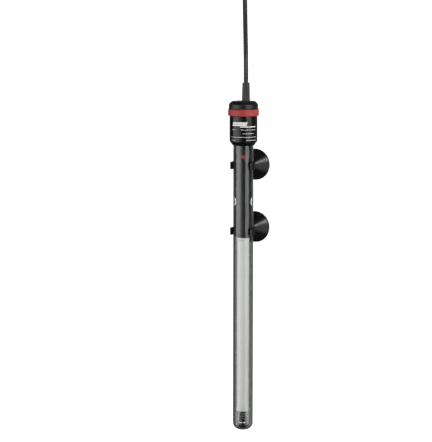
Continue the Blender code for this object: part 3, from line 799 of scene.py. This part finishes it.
def strain_relief():
    """A fluted sleeve round the cord, held by a flange inside the cap."""
    flange = RELIEF_RADIUS + 0.0012
    flange_top = CAP_CEILING - 0.0003
    bore = CORD_DIAMETER / 2 + 0.0001
    start = CAP_END + 0.0004
    run = RELIEF_END - 0.0046 - start
    steps = 12
    ribs = [(RELIEF_RADIUS - 0.0003 * i / steps, start + run * i / steps) for i in range(steps, -1, -1)]
    profile = rounded(
        [
            (bore, RELIEF_END, 0.0003), (RELIEF_RADIUS - 0.0004, RELIEF_END, 0.0006),
            (RELIEF_RADIUS - 0.0004, RELIEF_END - 0.0042, 0.0003), *ribs,
            (RELIEF_RADIUS - 0.0001, flange_top, 0.0002), (flange, flange_top, 0.0002),
            (flange, flange_top - 0.0028, 0.0004), (0.0, flange_top - 0.0028), (0.0, CORD_START - 0.0004),
            (bore, CORD_START - 0.0004),
        ]
    )
    place = HEATER @ Matrix.Translation((CORD_SHIFT, 0.0, 0.0))
    mesh = lathe(profile, 100, fluted)
    piece("relief_sleeve", mesh, "heater", CORD_PVC, ["strain_relief"], place)


def seals():
    """The rubber rings under the glass's rim and under the cap."""
    edge = 0.0004
    for name, bore, radius in (("glass_seal", 0.0111, 0.0123), ("cap_seal", 0.0108, 0.0126)):
        start, end = stations(name)
        corners = (bore, end), (radius, end), (radius, start), (bore, start)
        profile = rounded([(*corner, edge) for corner in corners])
        piece(name + "_ring", lathe(profile, 72), "heater", SEAL_RUBBER, [name])


def clip_outer(angle):
    """The clip's outer radius, which steps out to a tab at each end."""
    step = math.radians(5.0)
    out = eased((abs(angle) - TAB_REACH + step) / (2.0 * step))
    return CLIP_OUTER + (TAB_RADIUS - CLIP_OUTER) * out


def saddle_outer(angle):
    """The saddle's outer radius, a little inside the clip's so that the two join cleanly."""
    return CLIP_OUTER - 0.0001


def clip(name, station, saddle):
    """A C-shaped bar on a longer saddle, with a boss that holds the cup's stud."""
    cup = middle(name + "_suction_cup").y - TIP.y
    seat = CUP_TOP - TIP.z
    start, end = saddle
    half = (end - start) / 2
    mesh = combined(
        sector(CLIP_INNER, clip_outer, CLIP_HALF, CLIP_REACH, station, 0.0006),
        ("UNION", sector(CLIP_INNER, saddle_outer, half, SADDLE_REACH, (start + end) / 2, 0.0005, 48)),
        ("UNION", drum((0.0, cup, -0.0162), 0.0056, 0.0058, "Z")),
        ("DIFFERENCE", drum((0.0, cup, seat + 0.00355), 0.0042, 0.0027, "Z", 48)),
        ("DIFFERENCE", drum((0.0, cup, seat + 0.00061), 0.0028, 0.0032, "Z", 48)),
    )
    replaced = [name + "_clip"]
    piece(name + "_clip_shell", mesh, name + "_holder", GLOSS_BLACK, replaced, HOLDER)


def cup(name):
    """A stud, a neck, a straight cone and a thin rim, hollow underneath."""
    profile = [
        (0.0, 0.0195), (0.0037, 0.0195, 0.0006), (0.0037, 0.0176, 0.0003), (0.0023, 0.0175, 0.0003),
        (0.0023, 0.0147, 0.0004), (0.0054, 0.0146, 0.0008), (0.0175, 0.0022, 0.0030),
        (0.0184, 0.0012, 0.0006), (CUP_RADIUS, 0.0009, 0.0004), (CUP_RADIUS, 0.0, 0.0003),
        (0.0164, 0.0, 0.0003),
    ]
    hollow = 0.0095
    count = 12
    for i in range(count):
        radius = 0.0160 * (1.0 - (i + 0.5) / count)
        profile.append((radius, hollow * (1.0 - (radius / 0.0163) ** 1.6)))
    profile.append((0.0, hollow))
    centre = middle(name + "_suction_cup")
    place = Matrix.Translation((centre.x, centre.y, 0.0)) @ Matrix.Rotation(math.pi / 2, 4, "X")
    mesh = lathe(rounded(profile, closed=False), 96)
    replaced = [name + "_suction_cup"]
    piece(name + "_cup_soft", mesh, name + "_cup", CUP_RUBBER, replaced, place)


def printed_marks():
    """Plain bars and dashes of ink on the front of the head."""
    marks = [
        # left and right edge in degrees from the front, lower and upper station, slant in degrees
        (-52.0, 12.0, 0.37250, 0.37700, 5.0),
        (-16.0, 56.0, 0.37090, 0.37190, 1.5),
    ]
    dashes = random.Random(4)
    for left, right, station in (
        (-52.0, -34.0, 0.3675),
        (-11.0, 56.0, 0.3675),
        (-4.0, 46.0, 0.3631),
        (-62.0, 62.0, 0.3588),
        (-58.0, -36.0, 0.3551),
        (10.0, 58.0, 0.3551),
    ):
        while left < right:
            length = dashes.uniform(2.5, 7.0)
            marks.append((left, min(left + length, right), station, station + DASH_HEIGHT, 0.6))
            left += length + dashes.uniform(1.4, 2.6)
    under = HEAD_RADIUS - 0.00002
    over = HEAD_RADIUS + 0.00003
    shape = bmesh.new()
    for left, right, low, high, slant in marks:
        steps = max(2, round((right - left) / 3.0))
        rows = []
        for i in range(steps + 1):
            angle = left + (right - left) * i / steps
            corners = []
            for radius, station in ((under, low), (over, low), (over, high), (under, high)):
                turn = math.radians(angle + (slant if station == high else 0.0))
                corners.append(shape.verts.new((radius * math.sin(turn), station, radius * math.cos(turn))))
            rows.append(corners)
        for first, second in zip(rows, rows[1:]):
            for k in range(4):
                m = (k + 1) % 4
                shape.faces.new((first[k], first[m], second[m], second[k]))
        shape.faces.new(rows[0])
        shape.faces.new(rows[-1])
    bmesh.ops.recalc_face_normals(shape, faces=shape.faces)
    mesh = bpy.data.meshes.new("print")
    shape.to_mesh(mesh)
    shape.free()
    piece("head_print", mesh, "heater", INK)


# The cord, its tie and its plug.


def cord():
    """The whole cord, from inside the strain relief to the plug."""
    x, y, z = CORD_ROUTE[0]
    start = TIP.y + CORD_START
    inside = [(x, start, z), (x, (start + y) / 2, z)]
    knots = [*inside, *CORD_ROUTE, *[over_tie(point) for point in hank_route()], *CORD_END_ROUTE]
    points = smooth_route(knots, CORD_SPACING)
    curve = bpy.data.curves.new("supply_cord", "CURVE")
    curve.dimensions = "3D"
    curve.bevel_depth = CORD_DIAMETER / 2
    curve.bevel_resolution = 6
    curve.use_fill_caps = True
    spline = curve.splines.new("POLY")
    spline.points.add(len(points) - 1)
    for place, point in zip(points, spline.points):
        point.co = (*place, 1.0)
    spline.use_smooth = True
    curve.materials.append(CORD_PVC)
    obj = bpy.data.objects.new("supply_cord", curve)
    bpy.context.scene.collection.objects.link(obj)
    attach(obj, "heater")
    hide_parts("power_cord", "cord_hank", "cord_end")
    return obj


def tie():
    """A band round the strands at the hank's waist."""
    waist = HANK_START + HANK_RUN / 2
    strands = []
    for point in [over_tie(point) for point in hank_route()]:
        if abs(point[1] - waist) < TIE_WIDTH / 2 + CORD_SPACING:
            strands.append((point[0], point[2]))
    inner = CORD_DIAMETER / 2 + 0.0001
    section = rounded(
        [
            (inner, -TIE_WIDTH / 2, 0.0003), (inner + TIE_WALL, -TIE_WIDTH / 2, 0.0004),
            (inner + TIE_WALL, TIE_WIDTH / 2, 0.0004), (inner, TIE_WIDTH / 2, 0.0003),
        ]
    )
    count = 96
    rings = []
    for out, along in section:
        ring = []
        for i in range(count):
            angle = math.tau * i / count
            way = Vector((math.sin(angle), math.cos(angle)))
            near = max(strands, key=lambda strand: Vector(strand).dot(way))
            spot = Vector(near) + way * out
            ring.append((spot.x, waist + along, max(spot.y, 0.0002)))
        rings.append(ring)
    mesh = skin(rings, closed=True)
    piece("tie_band", mesh, "heater", TIE_BAND, ["cord_tie"], Matrix.Identity(4))


def rounded_box(half_width, half_height, rounding, corner_steps=8):
    """The outline of a rounded rectangle in x and z."""
    corners = [
        (half_width, -half_height, rounding), (half_width, half_height, rounding),
        (-half_width, half_height, rounding), (-half_width, -half_height, rounding),
    ]
    return rounded(corners, steps=corner_steps)


def plug():
    """A flat two-pin plug: a ribbed grip that widens to shoulders, and a face with two pins."""
    low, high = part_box("plug_body")
    centre = (low + high) / 2
    length = high.y - low.y
    height = (high.z - low.z) / 2
    sections = (
        # share of the length, half width, half height
        (0.0, 0.0042, 0.0040),
        (0.015, 0.0051, 0.0049),
        (0.05, 0.0056, 0.0052),
        (0.09, 0.0058, 0.0053),
        (0.10, 0.0051, 0.0047),
        (0.13, 0.0051, 0.0047),
        (0.14, 0.0064, 0.0056),
        (0.19, 0.0068, 0.0057),
        (0.20, 0.0060, 0.0051),
        (0.23, 0.0061, 0.0051),
        (0.24, 0.0078, 0.0060),
        (0.30, 0.0092, 0.0062),
        (0.38, 0.0120, 0.0065),
        (0.46, 0.0150, 0.0067),
        (0.53, 0.0169, 0.0068),
        (0.62, 0.0176, 0.0068),
        (0.74, 0.0176, 0.0068),
        (0.85, 0.0170, 0.0068),
        (0.93, 0.0156, 0.0067),
        (0.975, 0.0142, 0.0065),
        (0.995, 0.0132, 0.0060),
        (1.0, 0.0125, 0.0055),
    )
    rings = [[(centre.x, low.y, centre.z)]]
    for share, half_width, half_height in sections:
        rounding = min(half_width, half_height) * 0.95
        outline = rounded_box(half_width, min(half_height, height), rounding)
        rings.append([(centre.x + x, low.y + share * length, centre.z + z) for x, z in outline])
    rings.append([(centre.x, high.y, centre.z)])
    mesh = skin(rings, closed=False)
    piece("plug_grip", mesh, "heater", PLUG_PVC, ["plug_body"], Matrix.Identity(4))
    for name in ("plug_pin_left", "plug_pin_right"):
        low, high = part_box(name)
        radius = (high.x - low.x) / 2
        span = high.y - low.y
        profile = rounded(
            [
                (0.0, span), (radius * 0.95, span, 0.0012), (radius, span - 0.0020, 0.0006),
                (radius, 0.0102, 0.0002), (radius - 0.0001, 0.0100, 0.0001),
                (radius - 0.0001, 0.0001, 0.0001), (0.0, 0.0),
            ],
            closed=False,
        )
        place = Matrix.Translation(((low.x + high.x) / 2, low.y, (low.z + high.z) / 2))
        piece(name + "_turned", lathe(profile, 48), "heater", STEEL, [name], place)


def inner_materials():
    """Finishes for the CAD pieces that stay inside the glass and the head."""
    finishes = {
        STEEL: (
            "return_lead", "element_lead", "heating_coil", "moving_contact", "fixed_contact", "snap_magnet",
            "setting_pin",
        ),
        BRASS: ("bimetal_strip", "contact_bracket", "cam_ring"),
        CERAMIC: ("ceramic_core", "lamp_resistor"),
        BOARD: ("mounting_board", "suppression_capacitor"),
        WIRE_COVER: ("live_wire", "neutral_wire"),
    }
    for material, names in finishes.items():
        for name in names:
            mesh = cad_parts[name].data
            mesh.materials.clear()
            mesh.materials.append(material)


# The stage.

CAMERA_DISTANCE = 2.2
CAMERA_RISE = math.radians(8.0)
CAMERA_AIM = 0.2566
CAMERA_SIDE = 0.0328
CAMERA_LENS = 148.85
FLOOR_GLOW = 0.80
ROOM = 0.003
BELOW = 0.13
SOFTBOXES = (
    # name, degrees from straight above towards +X, distance, width, length, radiance, station
    ("left_softbox", -40.0, 1.1, 1.15, 1.6, 1.85, 0.25),
    ("upper_left_softbox", -4.0, 1.1, 0.34, 1.6, 0.80, 0.25),
    ("upper_softbox", 12.0, 1.1, 0.20, 1.6, 0.22, 0.25),
    ("right_softbox", 72.0, 1.0, 0.85, 1.6, 1.55, 0.25),
    ("far_softbox", 62.0, 1.25, 0.30, 0.30, 24.0, 0.91),
)


def camera():
    """A long lens that faces the lamp, from a little towards the cap."""
    data = bpy.data.cameras.new("camera")
    data.lens = CAMERA_LENS
    data.sensor_fit = "AUTO"
    data.clip_start = 0.05
    data.clip_end = 50.0
    obj = bpy.data.objects.new("camera", data)
    bpy.context.scene.collection.objects.link(obj)
    back = Vector(
        (
            math.sin(FRONT_TURN) * math.cos(CAMERA_RISE),
            math.sin(CAMERA_RISE),
            math.cos(FRONT_TURN) * math.cos(CAMERA_RISE),
        )
    )
    right = Vector((0.0, 1.0, 0.0)).cross(back).normalized()
    up = back.cross(right)
    aim = TIP + Vector((0.0, CAMERA_AIM, 0.0)) - right * CAMERA_SIDE
    axes = Matrix((right, up, back)).transposed().to_4x4()
    obj.matrix_world = Matrix.Translation(aim + back * CAMERA_DISTANCE) @ axes
    bpy.context.scene.camera = obj


def floor():
    """A pale floor that glows a little, so that shadows on it stay soft."""
    shape = bmesh.new()
    bmesh.ops.create_grid(shape, x_segments=2, y_segments=2, size=8.0)
    mesh = bpy.data.meshes.new("floor")
    shape.to_mesh(mesh)
    shape.free()
    material, tree, shader = new_material("pale_floor")
    set_surface(
        tree,
        shader,
        ramp(tree, noise(tree, 0.4), ((0.3, (0.70, 0.70, 0.70)), (0.7, (0.72, 0.72, 0.72)))),
        between(tree, noise(tree, 0.1), 0.85, 0.95),
        Emission_Color=(1.0, 1.0, 1.0, 1.0),
        Emission_Strength=FLOOR_GLOW,
        Specular_IOR_Level=0.0,
    )
    mesh.materials.append(material)
    obj = bpy.data.objects.new("floor", mesh)
    bpy.context.scene.collection.objects.link(obj)
    obj.visible_glossy = False
    obj.visible_transmission = False


def softbox(name, side, distance, width, length, radiance, station):
    """A soft lamp that faces the heater's axis."""
    data = bpy.data.lights.new(name, "AREA")
    data.shape = "RECTANGLE"
    data.size = width
    data.size_y = length
    data.energy = radiance * math.pi * width * length
    obj = bpy.data.objects.new(name, data)
    bpy.context.scene.collection.objects.link(obj)
    angle = math.radians(side)
    way = Vector((math.sin(angle), 0.0, math.cos(angle)))
    across = Vector((way.z, 0.0, -way.x))
    axes = Matrix((across, way.cross(across), way)).transposed().to_4x4()
    obj.matrix_world = Matrix.Translation(TIP + Vector((0.0, station, 0.0)) + way * distance) @ axes
    obj.visible_camera = False


def surroundings():
    """A dim room, brighter straight below, that the camera sees as white."""
    world = bpy.data.worlds.new("studio")
    bpy.context.scene.world = world
    world.use_nodes = True
    tree = world.node_tree
    direction = node(tree, "TexCoord").outputs["Generated"]
    height = node(tree, "SeparateXYZ", Vector=direction).outputs["Z"]
    dim = tree.nodes["Background"]
    dim.inputs["Color"].default_value = (1.0, 1.0, 1.0, 1.0)
    tree.links.new(between(tree, height, BELOW, ROOM, -0.90, -0.20), dim.inputs["Strength"])
    white = node(tree, "Background", Color=(1.0, 1.0, 1.0, 1.0), Strength=1.0)
    seen = node(tree, "LightPath").outputs["Is Camera Ray"]
    mix = node(tree, "MixShader", Fac=seen)
    tree.links.new(dim.outputs["Background"], mix.inputs[1])
    tree.links.new(white.outputs["Background"], mix.inputs[2])
    tree.links.new(mix.outputs["Shader"], tree.nodes["World Output"].inputs["Surface"])


glass_tube()
heating_rod()
carrier()
lamp()
head()
cap()
strain_relief()
seals()
printed_marks()
for holder in HOLDERS:
    clip(*holder)
    cup(holder[0])
supply_cord = cord()
tie()
plug()
inner_materials()
surroundings()
floor()
camera()
for box in SOFTBOXES:
    softbox(*box)
bpy.context.scene.view_settings.view_transform = "Standard"
